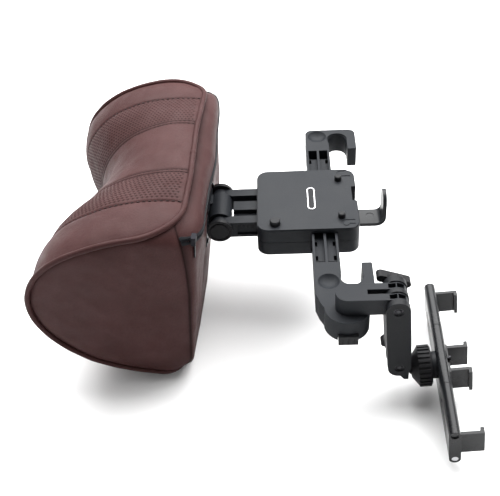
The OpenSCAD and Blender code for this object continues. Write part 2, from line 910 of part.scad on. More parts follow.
module holder_body() {
    color(black) on_ball() difference() {
        rail_section(rail_y - body_half, rail_y + body_half);
        translate([rail_cx, 0, rail_z])
            box(-tongue_t / 2 - tongue_gap, tongue_t / 2 + tongue_gap, -200, 0,
                -tongue_h / 2 - tongue_gap, tongue_h / 2 + tongue_gap);
        for (s = [-1, 1]) rod_y(rail_cx, rail_z + s * spring_z, -200, 0, spring_r + 0.5);
        socket_screw_spots(86, 110, screw_r + 0.1);
        box(rail_x1 - 1.4, 200, rail_y - 13.7, rail_y + 13.7, claw_top - claw_h - 0.1, claw_top + 0.1);
    }
}

module inner_claws() {
    color(black) on_ball() difference() {
        union() {
            for (s = [-1, 1]) claw(rail_y + s * inner_claw_y, s);
            box(rail_x1 - 1.3, rail_x1 + 1.5, rail_y - 13.6, rail_y + 13.6, claw_top - claw_h, claw_top);
        }
        socket_screw_spots(86, 110, screw_r + 0.1);
    }
}

module slide(s) {
    inner = body_half + gap;
    y0 = s > 0 ? inner : -end_y;
    y1 = s > 0 ? end_y : -inner;
    outer_face = s > 0 ? y1 : y0;
    tongue = body_half - tongue_len;
    color(black) on_ball() translate([0, rail_y, 0]) difference() {
        union() {
            rail_section(y0, y1);
            translate([rail_cx, 0, rail_z]) box(-tongue_t / 2, tongue_t / 2, s > 0 ? tongue : -inner - 5,
                s > 0 ? inner + 5 : -tongue, -tongue_h / 2, tongue_h / 2);
            claw(s * outer_claw_y, -s);
        }
        for (t = [-1, 1]) {
            rod_y(rail_cx, rail_z + t * spring_z, min(s * 20, s * 46), max(s * 20, s * 46), spring_r + 0.5);
        }
        rod_y(rail_cx, rail_top - rail_r, outer_face - 1, outer_face + 1, rail_r - 1.2);
        rod_y(rail_cx, rail_bottom + rail_r, outer_face - 0.9, outer_face + 0.9, 2.5);
        rod_y(rail_cx, rail_bottom + rail_r, outer_face - 9, outer_face + 9, 1.2);
        box(rail_x0 - 1, rail_x0 + 1.2, s > 0 ? 40 : -58, s > 0 ? 58 : -40, rail_z - 1.5, rail_z + 1.5);
        rod_x(s * 34, rail_z + 4, rail_x0 - 1, rail_x0 + 1.4, 1.6);
    }
}

module far_slide() {
    slide(1);
}

module near_slide() {
    slide(-1);
}

module slide_spring(s) {
    color(steel) on_ball() translate([rail_cx, rail_y + s * 44, rail_z + s * spring_z])
        rotate([s * 90, 0, 0]) coil(spring_r, 0.3, 0, 30, 11);
}

module far_slide_spring() {
    slide_spring(1);
}

module near_slide_spring() {
    slide_spring(-1);
}

module slide_end_screw(s) {
    color(steel) on_ball() translate([rail_cx, rail_y + s * (end_y - 0.9), rail_bottom + rail_r])
        rotate([s * 90, 0, 0]) {
            translate([0, 0, -0.8]) cylinder(r = 2.3, h = 0.8);
            cylinder(r = 1.15, h = 7);
        }
}

module far_end_screw() {
    slide_end_screw(1);
}

module near_end_screw() {
    slide_end_screw(-1);
}

housing_top();
housing_bottom();
housing_screws();
badge_plate();
bag_hook();
bag_hook_screw();
arm_release_button();
right_release_button();
left_release_button();
arm_release_spring();
right_release_spring();
left_release_spring();
pillow_arm();
hinge_pin();
hinge_caps();
pillow_bracket();
bracket_screws();
pillow_back_board();
pillow_foam();
pillow_cover();
zipper_tape();
zipper_slider();
zipper_pull();
right_post_arm();
left_post_arm();
swivel_stud();
pivot_release_tab();
pivot_release_spring();
tablet_arm();
link();
upper_bolt();
upper_insert();
upper_knob();
lower_bolt();
lower_insert();
lower_knob();
ball_lug();
collar_nut();
holder_socket();
socket_screws();
holder_body();
inner_claws();
far_slide();
near_slide();
far_slide_spring();
near_slide_spring();
far_end_screw();
near_end_screw();
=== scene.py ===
import json
import math

import bpy
import numpy as np
from mathutils import Matrix, Vector


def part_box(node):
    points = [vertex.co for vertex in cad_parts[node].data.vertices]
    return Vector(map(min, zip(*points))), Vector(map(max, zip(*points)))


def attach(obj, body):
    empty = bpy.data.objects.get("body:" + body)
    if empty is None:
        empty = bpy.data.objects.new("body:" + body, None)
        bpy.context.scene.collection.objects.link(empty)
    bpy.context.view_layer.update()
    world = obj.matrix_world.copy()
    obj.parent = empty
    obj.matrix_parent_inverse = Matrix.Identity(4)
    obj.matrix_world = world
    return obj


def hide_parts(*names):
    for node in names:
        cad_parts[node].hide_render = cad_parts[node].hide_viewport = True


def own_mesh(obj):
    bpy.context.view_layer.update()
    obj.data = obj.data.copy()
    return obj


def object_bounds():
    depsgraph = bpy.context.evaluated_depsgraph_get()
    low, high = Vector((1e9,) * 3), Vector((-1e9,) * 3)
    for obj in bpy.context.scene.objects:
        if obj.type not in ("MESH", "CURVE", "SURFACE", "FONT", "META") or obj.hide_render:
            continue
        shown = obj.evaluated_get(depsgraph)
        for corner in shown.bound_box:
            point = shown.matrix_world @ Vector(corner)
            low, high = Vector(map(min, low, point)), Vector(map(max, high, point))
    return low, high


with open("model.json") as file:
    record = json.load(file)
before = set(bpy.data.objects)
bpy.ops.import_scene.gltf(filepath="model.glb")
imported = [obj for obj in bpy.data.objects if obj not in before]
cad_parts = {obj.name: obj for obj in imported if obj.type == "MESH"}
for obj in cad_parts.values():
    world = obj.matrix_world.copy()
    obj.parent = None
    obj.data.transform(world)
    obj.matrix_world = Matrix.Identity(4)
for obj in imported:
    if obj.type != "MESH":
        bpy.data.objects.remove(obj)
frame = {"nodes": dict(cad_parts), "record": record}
CAD_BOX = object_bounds()
MM = 0.001

# The pillow's own frame, as in the CAD: x = 0 at the plane of its bracket, y and z = 0 in its
# middle. Every length in it is in mm.
PILLOW_AT = np.array([-83.0, 0.0, 5.5])
PILLOW_LEAN = 4.0
PILLOW_YAW = -4.6
PILLOW_MIDDLE = np.array([-45.0, 0.0, 0.0])

# Pillow's shape
BACK_X = -8.5          # where the piping runs along the back's top and bottom
BACK_EDGE_SHIFT = 3.2  # how much further back it runs along the near half
HALF_H = 76.0
END_DROP = 4.5         # how much lower the near end is than the middle
FAR_EXTRA_DROP = 0.6   # how much lower still the far end is
END_Y = 100.0          # where those drops are measured
FAR_SLOPE = 4.5        # how much the far end's top slopes down to the back
DEPTH_Y = (-104, -80, -67, -55, -45, -34, -15, 0, 15, 31, 45, 55, 67, 80, 98)
DEPTH_X = (118.5, 118, 116, 111.5, 106, 99.5, 88, 83.5, 84.5, 91, 100, 106, 112, 115.5, 116.5)
DEPTH_SPAN = (-112.0, 108.0)
DEPTH_STEP = 0.5
DEPTH_SMOOTHINGS = 220
MID_D = 102.0          # a middling depth, along which the rows of the mesh are spaced
END_EXTRA_D = 8.0      # how much deeper than that the ends are
NEAR_END = 102.0
NEAR_FLARE = 6.0       # how far the near end face leans out towards the front
FLARE_REACH = 60.0     # distance from the back's plane over which it does so
FAR_END = 99.0
TOP_CORNER = 28.0
BOTTOM_CORNER = 12.0

# Its seams: two single ones near the ends, and two with a row of stitches on either side
SEAMS = (-67.0, -33.4, 29.4, 67.0)
TWIN_SEAMS_Y = 50.0    # seams nearer the middle than this are the two with twin rows
TWIN_GAP = 1.5         # from such a seam to each row of stitches
PLAIN_CROWN = 1.3      # how far the strips between seams stand up in their middles
PERFORATED_CROWN = 0.9
CROWN_POWER = 0.8
RIM_SINK = 1.2         # how far a panel is pulled in beside the piping
PIPING_R = 2.1
PIPING_STEP = 1.6

# The front panel's mesh and its perforations
ROW_STEP = 0.78
NEAR_COLS = 19
MIDDLE_COLS = 30
FAR_COLS = 16
SEAM_COLS = (-1.6, -0.8, 0.8, 1.6)
HOLE_ROWS = 4          # rows of the mesh from one perforation to the next
HOLE_COLS = 4          # columns of the mesh from one line of perforations to the next
HOLE_COL_STEP = 0.65
HOLE_MARGIN = 2.4      # from a seam to the first line of perforations
HOLE_END_ROWS = 7      # rows without perforations at the piping
HOLE_DEPTH = 0.5

# The back panel's mesh, and how wide its roll is along each edge
BACK_COLS = 150
BACK_ROWS = 120
EDGE_CROWDING = 0.06
TOP_ROLL = 16.0
BOTTOM_ROLL = 11.0
NEAR_ROLL = 26.0
FAR_ROLL = 34.0

# x of the seam between an end face and the back, by height
END_SEAM_Z = (-76, -61, 15, 45, 61, 70, 76)
END_SEAM_X = (-9, 1.0, 1.0, -1.5, -4.2, -7.6, -9.5)
JOIN_TOP = 4           # row of the wrap where that seam meets the piping, from the top
JOIN_BOTTOM = 5        # and from the bottom

ZIPPER_Z = 60.0
TAPE_HALF_WIDTH = 3.0
TOOTH_PITCH = 1.6


def rotation(axis, degrees):
    return np.array(Matrix.Rotation(math.radians(degrees), 3, axis))


PILLOW_TURN = rotation("Z", PILLOW_YAW) @ rotation("Y", PILLOW_LEAN)


def from_pillow(points):
    """Points in mm in the pillow's frame to metres in the shared frame."""
    return (PILLOW_AT + np.asarray(points) @ PILLOW_TURN.T) * MM


# ---------- node materials ----------

def scaled(colour, factor, lift=0.0):
    return tuple(min(1.0, c * factor + lift) for c in colour)


class Nodes:
    """A short way to write a material's node tree."""

    def __init__(self, name):
        self.material = bpy.data.materials.new(name)
        self.material.use_nodes = True
        self.tree = self.material.node_tree
        self.tree.nodes.clear()
        output = self.tree.nodes.new("ShaderNodeOutputMaterial")
        self.shader = self.add("ShaderNodeBsdfPrincipled")
        self.link(self.shader.outputs[0], output.inputs[0])
        self.place = self.add("ShaderNodeTexCoord").outputs["Object"]

    def add(self, kind, **settings):
        node = self.tree.nodes.new(kind)
        for key, value in settings.items():
            setattr(node, key, value)
        return node

    def link(self, a, b):
        self.tree.links.new(a, b)

    def value(self, socket, x):
        if hasattr(x, "links"):
            self.link(x, socket)
        else:
            socket.default_value = x

    def math(self, operation, a, b, clamp=False):
        node = self.add("ShaderNodeMath", operation=operation, use_clamp=clamp)
        for socket, x in zip(node.inputs, (a, b)):
            self.value(socket, x)
        return node.outputs[0]

    def noise(self, scale, detail=3.0, rough=0.55, stretch=None):
        node = self.add("ShaderNodeTexNoise")
        node.inputs["Scale"].default_value = scale
        node.inputs["Detail"].default_value = detail
        node.inputs["Roughness"].default_value = rough
        self.link(self.stretched(stretch), node.inputs["Vector"])
        return node.outputs["Fac"]

    def cells(self, scale, feature="DISTANCE_TO_EDGE", stretch=None):
        node = self.add("ShaderNodeTexVoronoi", feature=feature)
        node.inputs["Scale"].default_value = scale
        self.link(self.stretched(stretch), node.inputs["Vector"])
        return node.outputs["Distance"]

    def stretched(self, stretch):
        if stretch is None:
            return self.place
        mapping = self.add("ShaderNodeMapping")
        mapping.inputs["Scale"].default_value = stretch
        self.link(self.place, mapping.inputs["Vector"])
        return mapping.outputs[0]

    def spread(self, x, low, high, to_low, to_high):
        node = self.add("ShaderNodeMapRange")
        for socket, v in zip(list(node.inputs)[1:5], (low, high, to_low, to_high)):
            socket.default_value = v
        self.link(x, node.inputs[0])
        return node.outputs[0]

    def mix(self, factor, a, b):
        node = self.add("ShaderNodeMix", data_type="RGBA")
        self.value(node.inputs["Factor"], factor)
        for socket, x in ((node.inputs[6], a), (node.inputs[7], b)):
            if isinstance(x, tuple):
                socket.default_value = (*x, 1.0)
            else:
                self.link(x, socket)
        return node.outputs[2]

    def attribute(self, name):
        return self.add("ShaderNodeAttribute", attribute_name=name).outputs["Fac"]

    def bump(self, height, distance, strength=1.0, under=None):
        node = self.add("ShaderNodeBump")
        node.inputs["Strength"].default_value = strength
        node.inputs["Distance"].default_value = distance
        self.link(height, node.inputs["Height"])
        if under is not None:
            self.link(under, node.inputs["Normal"])
        return node.outputs[0]

    def soft_edges(self, radius):
        node = self.add("ShaderNodeBevel", samples=4)
        node.inputs["Radius"].default_value = radius
        return node.outputs[0]

    def set(self, **inputs):
        for name, x in inputs.items():
            self.value(self.shader.inputs[name.replace("_", " ")], x)
        return self.material


def leather_material(name, base, grain_mm=1.0, crease_shade=True):
    """Pigmented leather: fine pebble grain, uneven colour, painted shade in seams, holes and
    creases.
    """
    n = Nodes(name)
    patches = n.spread(n.noise(34, 4), 0.3, 0.7, 0.0, 1.0)
    pebbles = n.spread(n.cells(1000 / grain_mm), 0.0, 0.32, 0.0, 1.0)
    colour = n.mix(patches, scaled(base, 0.93), scaled(base, 1.18, 0.004))
    colour = n.mix(n.spread(pebbles, 0.0, 0.5, 0.5, 0.0), colour, scaled(base, 0.55))
    rough = n.spread(n.noise(90, 3), 0.3, 0.7, 0.5, 0.63)
    if crease_shade:
        # painted shade: the mesh's seam, hole and piping mask darkens the colour here and makes it
        # rougher
        painted_shade = n.attribute("crease_shade")
        colour = n.mix(painted_shade, colour, scaled(base, 0.16))
        rough = n.math("ADD", rough, n.math("MULTIPLY", painted_shade, 0.3), clamp=True)
    normal = n.bump(n.noise(520, 4), 0.00025, 0.5)
    normal = n.bump(pebbles, 0.00012, 0.55, under=normal)
    return n.set(Base_Color=colour, Roughness=rough, Normal=normal, Specular_IOR_Level=0.11)


def plastic_material(name, base, rough=0.5, grain=0.00008, edge=0.00045, gloss=0.12):
    """Moulded plastic: spark-eroded grain, slightly polished and dusty patches, softened edges."""
    n = Nodes(name)
    patches = n.spread(n.noise(26, 5, 0.6), 0.32, 0.68, 0.0, 1.0)
    specks = n.spread(n.noise(1500, 2), 0.35, 0.7, 0.0, 1.0)
    colour = n.mix(patches, scaled(base, 0.88), scaled(base, 1.12))
    colour = n.mix(n.math("MULTIPLY", specks, 0.25), colour, scaled(base, 1.7, 0.01))
    polish = n.spread(patches, 0, 1, rough - 0.05, rough + 0.06)
    roughness = n.math("ADD", polish, n.math("MULTIPLY", specks, 0.05))
    normal = n.bump(n.noise(2300, 3), grain, 0.6, under=n.soft_edges(edge))
    normal = n.bump(n.cells(1400, "F1"), grain, 0.35, under=normal)
    return n.set(Base_Color=colour, Roughness=roughness, Normal=normal, Specular_IOR_Level=gloss)


def metal_material(name, base, rough=0.3, brushed=(60, 60, 900)):
    """Metal with fine lines, stretched where brushed is smallest, and tarnished patches."""
    n = Nodes(name)
    lines = n.noise(28, 5, 0.7, stretch=brushed)
    tarnish = n.spread(n.noise(140, 4), 0.35, 0.7, 0.0, 1.0)
    colour = n.mix(tarnish, base, scaled(base, 0.8))
    roughness = n.spread(lines, 0.3, 0.7, rough - 0.08, rough + 0.12)
    normal = n.bump(lines, 0.00003, 0.4, under=n.soft_edges(0.0002))
    return n.set(Base_Color=colour, Roughness=roughness, Normal=normal, Metallic=1.0)


def tape_material(name, base):
    """Woven zipper tape: a fine rib with thread-to-thread variation."""
    n = Nodes(name)
    ribs = n.noise(900, 2, stretch=(1, 1, 3.5))
    colour = n.mix(n.spread(ribs, 0.3, 0.7, 0, 1), scaled(base, 0.7), scaled(base, 1.5))
    return n.set(Base_Color=colour, Roughness=0.8, Normal=n.bump(ribs, 0.0003, 0.8),
                 Sheen_Weight=0.06, Specular_IOR_Level=0.12)


def foam_material(name, base):
    """Open-cell foam, which no view shows while the cover replaces it."""
    n = Nodes(name)
    pores = n.cells(900, "F1")
    colour = n.mix(n.spread(pores, 0.1, 0.6, 0, 1), scaled(base, 0.6), base)
    return n.set(Base_Color=colour, Roughness=0.9, Normal=n.bump(pores, 0.0006, 0.8))


BLACK = (0.0098, 0.0112, 0.0136)
DEEP_BLACK = (0.0066, 0.0074, 0.0088)
HOLDER_BLACK = (0.0055, 0.006, 0.007)
LEATHER = (0.042, 0.0150, 0.0145)
THREAD_BROWN = (0.014, 0.006, 0.006)
SMOOTH = 0.000003      # grain of the polished mouldings
CROSSED = (60, 60, 60)
BADGE_CROSSED = (40, 40, 40)


def finishes():
    """A material for each of the record's slots."""
    made = {}

    def plastic(slot, *look, **more):
        made[slot] = plastic_material(slot, *look, **more)

    def metal(slot, *look):
        made[slot] = metal_material(slot, *look)

    plastic("shell_plastic", BLACK, 0.46)
    plastic("arm_plastic", BLACK, 0.5)
    plastic("link_plastic", DEEP_BLACK, 0.5)
    plastic("hook_plastic", DEEP_BLACK, 0.33, SMOOTH, gloss=0.2)
    plastic("holder_plastic", HOLDER_BLACK, 0.27, SMOOTH, gloss=0.2)
    plastic("button_plastic", (0.009, 0.0095, 0.0105), 0.42, 0.00004)
    plastic("cap_plastic", (0.009, 0.009, 0.010), 0.44)
    plastic("knob_plastic", (0.008, 0.008, 0.009), 0.5)
    plastic("board_plastic", (0.02, 0.02, 0.02), 0.6)
    metal("badge_metal", (0.42, 0.42, 0.43), 0.24, BADGE_CROSSED)
    metal("screw_steel", (0.035, 0.035, 0.038), 0.25)
    metal("pin_steel", (0.58, 0.58, 0.60), 0.28)
    metal("spring_steel", (0.56, 0.56, 0.58), 0.33, CROSSED)
    metal("zipper_metal", (0.009, 0.009, 0.011), 0.42, CROSSED)
    made["zipper_fabric"] = tape_material("zipper_fabric", (0.006, 0.0065, 0.008))
    made["foam"] = foam_material("foam", (0.7, 0.62, 0.42))
    made["pillow_leather"] = leather_material("pillow_leather", LEATHER)
    return made


FINISHES = finishes()
PIPING_LEATHER = leather_material("piping_leather", scaled(LEATHER, 0.96), 0.7, crease_shade=False)
THREAD = tape_material("stitch_thread", THREAD_BROWN)
BRIGHT_SCREWS = ("far_end_screw", "near_end_screw")


def dress_cad_nodes():
    slots = {s["node"]: s["material_slot"] for s in frame["record"]["subparts"]}
    slots.update(dict.fromkeys(BRIGHT_SCREWS, "pin_steel"))
    for name, obj in frame["nodes"].items():
        for material_slot in obj.material_slots:
            material_slot.material = FINISHES[slots[name]]


# ---------- mesh helpers ----------

def new_mesh(name, points, faces, material, attributes=None, smooth=True):
    mesh = bpy.data.meshes.new(name)
    mesh.from_pydata([tuple(p) for p in points], [], [tuple(int(i) for i in f) for f in faces])
    for key, values in (attributes or {}).items():
        layer = mesh.attributes.new(key, "FLOAT", "POINT")
        layer.data.foreach_set("value", np.asarray(values, np.float32).ravel())
    mesh.polygons.foreach_set("use_smooth", [smooth] * len(mesh.polygons))
    mesh.materials.append(material)
    mesh.update()
    obj = bpy.data.objects.new(name, mesh)
    bpy.context.scene.collection.objects.link(obj)
    return obj


def grid_faces(rows, cols, start=0, wrap=False):
    """Quads of a grid of points stored row by row; wrap joins the last column to the first."""
    r, c = np.meshgrid(np.arange(rows - 1), np.arange(cols if wrap else cols - 1), indexing="ij")
    nxt = (c + 1) % cols
    quads = np.stack([r * cols + c, r * cols + nxt, (r + 1) * cols + nxt, (r + 1) * cols + c], -1)
    return quads.reshape(-1, 4) + start


def grid_normals(p):
    """Unit normals of a grid of points, from its two directions."""
    n = np.cross(np.gradient(p, axis=0), np.gradient(p, axis=1))
    return n / np.maximum(np.linalg.norm(n, axis=-1, keepdims=True), 1e-9)


def tube(path, radius, sides, closed=False, up=(0.31, 0.17, 0.93)):
    """Points and faces of a tube along a path; radius may vary along it."""
    path = np.asarray(path, float)
    if closed:
        ahead = np.roll(path, -1, 0) - np.roll(path, 1, 0)
    else:
        ahead = np.gradient(path, axis=0)
    ahead /= np.linalg.norm(ahead, axis=1, keepdims=True)
    side = np.cross(ahead, np.asarray(up))
    side /= np.linalg.norm(side, axis=1, keepdims=True)
    top = np.cross(side, ahead)
    turns = np.arange(sides) * 2 * math.pi / sides
    ring = np.cos(turns)[None, :, None] * side[:, None]
    ring = ring + np.sin(turns)[None, :, None] * top[:, None]
    radius = np.broadcast_to(np.asarray(radius, float), (len(path),))
    points = path[:, None] + ring * radius[:, None, None]
    faces = grid_faces(len(path), sides, wrap=True).tolist()
    last = (len(path) - 1) * sides
    if closed:
        faces += [[last + i, last + (i + 1) % sides, (i + 1) % sides, i] for i in range(sides)]
    else:
        faces += [list(range(sides))[::-1], list(range(last, last + sides))]
    return points.reshape(-1, 3), faces


def joined(parts):
    """One list of points and one of faces from several."""
    points, faces, start = [], [], 0
    for p, f in parts:
        points.append(p)
        faces += [[i + start for i in face] for face in f]
        start += len(p)
    return np.concatenate(points), faces


def waves(points, size, seed):
    """Smooth pseudo-random field, about -1 to 1, with features of a given size."""
    rng = np.random.default_rng(seed)
    total = np.zeros(points.shape[:-1])
    for octave in range(2):
        for _ in range(5):
            direction = rng.normal(size=3)
            direction /= np.linalg.norm(direction)
            shift = rng.uniform(0, 2 * math.pi)
            phase = points @ direction * (2 * math.pi / size) * 2**octave + shift
            total += np.sin(phase) / 2**octave
    return total / 4


def ramp(x, start, length):
    """0 up to start, 1 from start + length on, and straight between them."""
    return np.clip((x - start) / length, 0, 1)


def bell(x, width):
    return np.exp(-((x / width) ** 2))


def fade(gap, length):
    return np.exp(-gap / length)


def lengths_along(line):
    """Distance along a line of points, from its first point to each of them."""
    return np.concatenate([[0], np.cumsum(np.linalg.norm(np.diff(line, axis=0), axis=1))])


def interpolated(line, places, at):
    """Points at places along a line, where at holds the place of each of the line's own points."""
    return np.stack([np.interp(places, at, line[:, k]) for k in range(3)], -1)


def evenly(path, step, closed=False):
    """The path with points at an even step."""
    path = np.concatenate([path, path[:1]]) if closed else path
    length = lengths_along(path)
    keep = np.concatenate([[True], np.diff(length) > 1e-6])
    count = max(3, int(round(length[-1] / step)))
    out = interpolated(path[keep], np.linspace(0, length[-1], count + 1), length[keep])
    return out[:-1] if closed else out


def resampled(line, count):
    """A given number of points, evenly spaced along a line."""
    length = lengths_along(line)
    return interpolated(line, np.linspace(0, length[-1], count), length)


def sampled(line, share):
    """Points at given shares, 0 to 1, of a line's run of points."""
    return interpolated(line, share, np.linspace(0, 1, len(line)))


def smoothed(path, times, closed=True):
    for _ in range(times):
        if closed:
            path = 0.5 * path + 0.25 * (np.roll(path, 1, 0) + np.roll(path, -1, 0))
        else:
            inner = 0.5 * path[1:-1] + 0.25 * (path[:-2] + path[2:])
            path = np.concatenate([path[:1], inner, path[-1:]])
    return path


# ---------- pillow ----------

def depth_at(y):
    places = np.arange(*DEPTH_SPAN, DEPTH_STEP)
    depth = np.interp(places, DEPTH_Y, DEPTH_X)
    for _ in range(DEPTH_SMOOTHINGS):
        depth[1:-1] = 0.5 * depth[1:-1] + 0.25 * (depth[:-2] + depth[2:])
    return np.interp(y, places, depth)


def height_at(y):
    drop = np.where(y > 0, END_DROP + FAR_EXTRA_DROP, END_DROP)
    return HALF_H - drop * (np.abs(y) / END_Y) ** 3


def profile_angles():
    """Angles of the rows round the front, evenly spaced along a middling profile."""
    fine = np.linspace(0, math.pi, 4000)
    reach = MID_D + BACK_X
    length = lengths_along(np.stack([reach * np.sin(fine), HALF_H * np.cos(fine)], -1))
    rows = int(round(length[-1] / ROW_STEP))
    return np.interp(np.linspace(0, length[-1], rows + 1), length, fine)


def not_perforated(y):
    return not (SEAMS[0] < y < SEAMS[1] or SEAMS[2] < y < SEAMS[3])


def column_places():
    """Places of the columns across the pillow: close together on the perforated strips."""
    places = [
        np.linspace(-(NEAR_END + NEAR_FLARE), SEAMS[0], NEAR_COLS),
        np.linspace(SEAMS[1], SEAMS[2], MIDDLE_COLS),
        np.linspace(SEAMS[3], FAR_END, FAR_COLS),
        [s + d for s in SEAMS for d in SEAM_COLS if not_perforated(s + d)],
    ]
    for a, b in (SEAMS[:2], SEAMS[2:]):
        places.append(np.linspace(a, b, int(round((b - a) / HOLE_COL_STEP)) + 1))
    return np.unique(np.round(np.concatenate(places), 4))


def end_places(reach, top):
    """Where the near and far edges are, at a distance from the back's plane."""
    radius = np.where(top, TOP_CORNER, BOTTOM_CORNER)
    inside = np.clip(1 - reach / radius, 0, 1)
    cut = radius * (1 - np.sqrt(1 - inside**2))
    flare = NEAR_FLARE * ramp(reach, 0, FLARE_REACH)
    return -(NEAR_END + flare) + cut, FAR_END - cut


def wrap_points():
    """The front panel as a grid, and the places of its columns before the corners are rounded.

    Its rows run from the back's top edge round the front to the back's bottom edge.
    """
    angle = profile_angles()[:, None]
    column = column_places()[None, :]
    reach = (MID_D + BACK_X + END_EXTRA_D) * np.sin(angle)
    upper = angle < math.pi / 2
    near, far = end_places(reach, upper)
    inner_near, inner_far = SEAMS[0], SEAMS[3]
    near_share = (column - inner_near) / (-(NEAR_END + NEAR_FLARE) - inner_near)
    far_share = (column - inner_far) / (FAR_END - inner_far)
    y = np.where(column < inner_near, inner_near + near_share * (near - inner_near), column)
    y = np.where(column > inner_far, inner_far + far_share * (far - inner_far), y)
    edge = BACK_X + BACK_EDGE_SHIFT * ramp(-y, -20, 60) * ramp(y, -100, 25)
    x = edge - (depth_at(y) + edge) * np.sin(angle)
    z = height_at(y) * np.cos(angle)
    z -= FAR_SLOPE * ramp(y, 40, 60) ** 2 * bell(reach, 22) * upper
    return np.stack([x, y, z], -1), column.ravel()


def seam_distance(y):
    return np.min(np.abs(y[..., None] - np.array(SEAMS)), -1)


def perforations(rows, columns):
    """Depth, 0 to 1, of the perforation at each point of the front panel's grid."""
    depth = np.zeros((rows, len(columns)))
    for a, b in (SEAMS[:2], SEAMS[2:]):
        inside = np.where((columns > a + HOLE_MARGIN) & (columns < b - HOLE_MARGIN))[0]
        for line, c in enumerate(inside[2::HOLE_COLS]):
            first = HOLE_END_ROWS + HOLE_ROWS // 2 * (line % 2)
            for r in range(first, rows - HOLE_END_ROWS, HOLE_ROWS):
                depth[r, c] = 1.0
                for dr, dc in ((1, 0), (-1, 0), (0, 1), (0, -1)):
                    depth[r + dr, c + dc] = max(depth[r + dr, c + dc], 0.5)
    return depth


def strip_crowns(y):
    """How far each strip stands up between its seams."""
    edges = np.array([-NEAR_END, *SEAMS, FAR_END])
    strip = np.clip(np.searchsorted(edges, y) - 1, 0, len(SEAMS))
    middle = (edges[strip] + edges[strip + 1]) / 2
    half = (edges[strip + 1] - edges[strip]) / 2
    crown = np.clip(1 - ((y - middle) / half) ** 2, 0, 1) ** CROWN_POWER
    return crown * np.where(strip % 2 == 0, PLAIN_CROWN, PERFORATED_CROWN)


def puffed_wrap():
    """The front panel with crowned strips, sunk seams, perforations and soft unevenness.

    Returns its points and normals, its painted shade in seams, holes and beside the piping, and
    its columns.
    """
    base, columns = wrap_points()
    normal = grid_normals(base)
    normal *= np.sign(np.sum(normal * (base - PILLOW_MIDDLE), -1).mean())
    y = base[..., 1]
    lift = strip_crowns(y)
    gap = seam_distance(y)
    inner = np.abs(y) < TWIN_SEAMS_Y
    # the inner seams are a raised band between two rows of stitches, the outer ones are sunk
    twin = bell(gap - TWIN_GAP, 0.7)
    lift += np.where(inner, 0.35 * bell(gap, 1.2) - 0.45 * twin, -0.8 * bell(gap, 0.9))
    along = np.cumsum(np.linalg.norm(np.diff(base, axis=0, prepend=base[:1]), axis=-1), 0)
    to_back = np.minimum(along, along[-1:] - along)
    to_near = np.linalg.norm(base - base[:, :1], axis=-1)
    to_far = np.linalg.norm(base - base[:, -1:], axis=-1)
    to_end = np.minimum(to_near, to_far)
    rim = np.minimum(to_back, to_end)
    # small gathers where the panel is eased round the end faces
    gathers = np.sin(along / 2.6 + 2 * np.sin(along / 17))
    lift += 0.35 * (gathers * fade(to_end, 9) * (1 - fade(to_end, 2)))
    lift += 0.7 * waves(base, 70, 3) + 0.16 * waves(base, 19, 5)
    holes = perforations(len(base), columns)
    held = fade(rim, 3.5)
    lift = lift * (1 - held) - RIM_SINK * held - HOLE_DEPTH * holes
    # painted shade along the seams, in the perforations and beside the piping
    seam_shade = np.where(inner, 0.7 * twin, 0.12 * bell(gap, 0.6))
    crease_shade = np.clip(seam_shade + holes + 0.5 * fade(rim, 1.0), 0, 1)
    return base + normal * lift[..., None], normal, crease_shade, columns


def boundary_loop(grid):
    """The four edges of a grid of points, as one closed loop."""
    return np.concatenate([grid[0, :-1], grid[:-1, -1], grid[-1, ::-1][:-1], grid[::-1, 0][:-1]])


def end_seam(wrap, near):
    """The seam between an end face and the back panel, from the top piping to the bottom one."""
    column = 0 if near else -1
    top, bottom = wrap[JOIN_TOP, column], wrap[-1 - JOIN_BOTTOM, column]
    share = np.linspace(0, 1, 70)
    z = top[2] + (bottom[2] - top[2]) * share
    x = np.interp(z, END_SEAM_Z, END_SEAM_X)
    if not near:
        x = x - 5 * ramp(z, -20, 80)
    out = (NEAR_END - 2.2 if near else FAR_END - 1.5) - 3.2 * ramp(z, 45, 26) ** 2
    out -= 3.0 * ramp(-z, 60, 12) ** 2
    line = np.stack([x, -out if near else out, z], -1)
    ends = ramp(np.minimum(share, 1 - share), 0, 0.06)[:, None]
    joint = np.where((share < 0.5)[:, None], top, bottom)
    return smoothed(joint * (1 - ends) + line * ends, 6, closed=False)


def end_face(wrap, seam, near):
    """The D-shaped end panel between the piping and its seam, gently domed."""
    rim = evenly(wrap[JOIN_TOP:len(wrap) - JOIN_BOTTOM, 0 if near else -1], 2.0)
    share = np.linspace(0, 1, len(rim))
    seam_line = sampled(seam, share)
    across = np.linspace(0, 1, 60)[None, :, None]
    panel = rim[:, None] * (1 - across) + seam_line[:, None] * across
    dome = (np.sin(math.pi * across[..., 0]) * np.sin(math.pi * share[:, None])) ** 0.6
    rim_gap = np.linalg.norm(panel - rim[:, None], axis=-1)
    seam_gap = np.linalg.norm(panel - seam_line[:, None], axis=-1)
    lift = 4.2 * dome - 1.2 * fade(rim_gap, 2.5) - 0.8 * fade(seam_gap, 1.5)
    lift += 0.6 * waves(panel, 60, 11 + near) + 0.2 * waves(panel, 21, 13 + near) * dome
    panel[..., 1] += lift * (-1 if near else 1)
    # painted shade along the end face's seam and beside the piping
    crease_shade = np.clip(0.9 * fade(seam_gap, 0.9) + 0.55 * fade(rim_gap, 1.4), 0, 1)
    return panel, crease_shade


def back_rim(wrap):
    """Top and bottom edges of the back panel, from the near end-face seam to the far one."""
    top = np.concatenate([wrap[JOIN_TOP:0:-1, 0], wrap[0], wrap[1:JOIN_TOP + 1, -1]])
    low = len(wrap) - 1 - JOIN_BOTTOM
    bottom = np.concatenate([wrap[low:-1, 0], wrap[-1], wrap[low:-1, -1][::-1]])
    return top, bottom


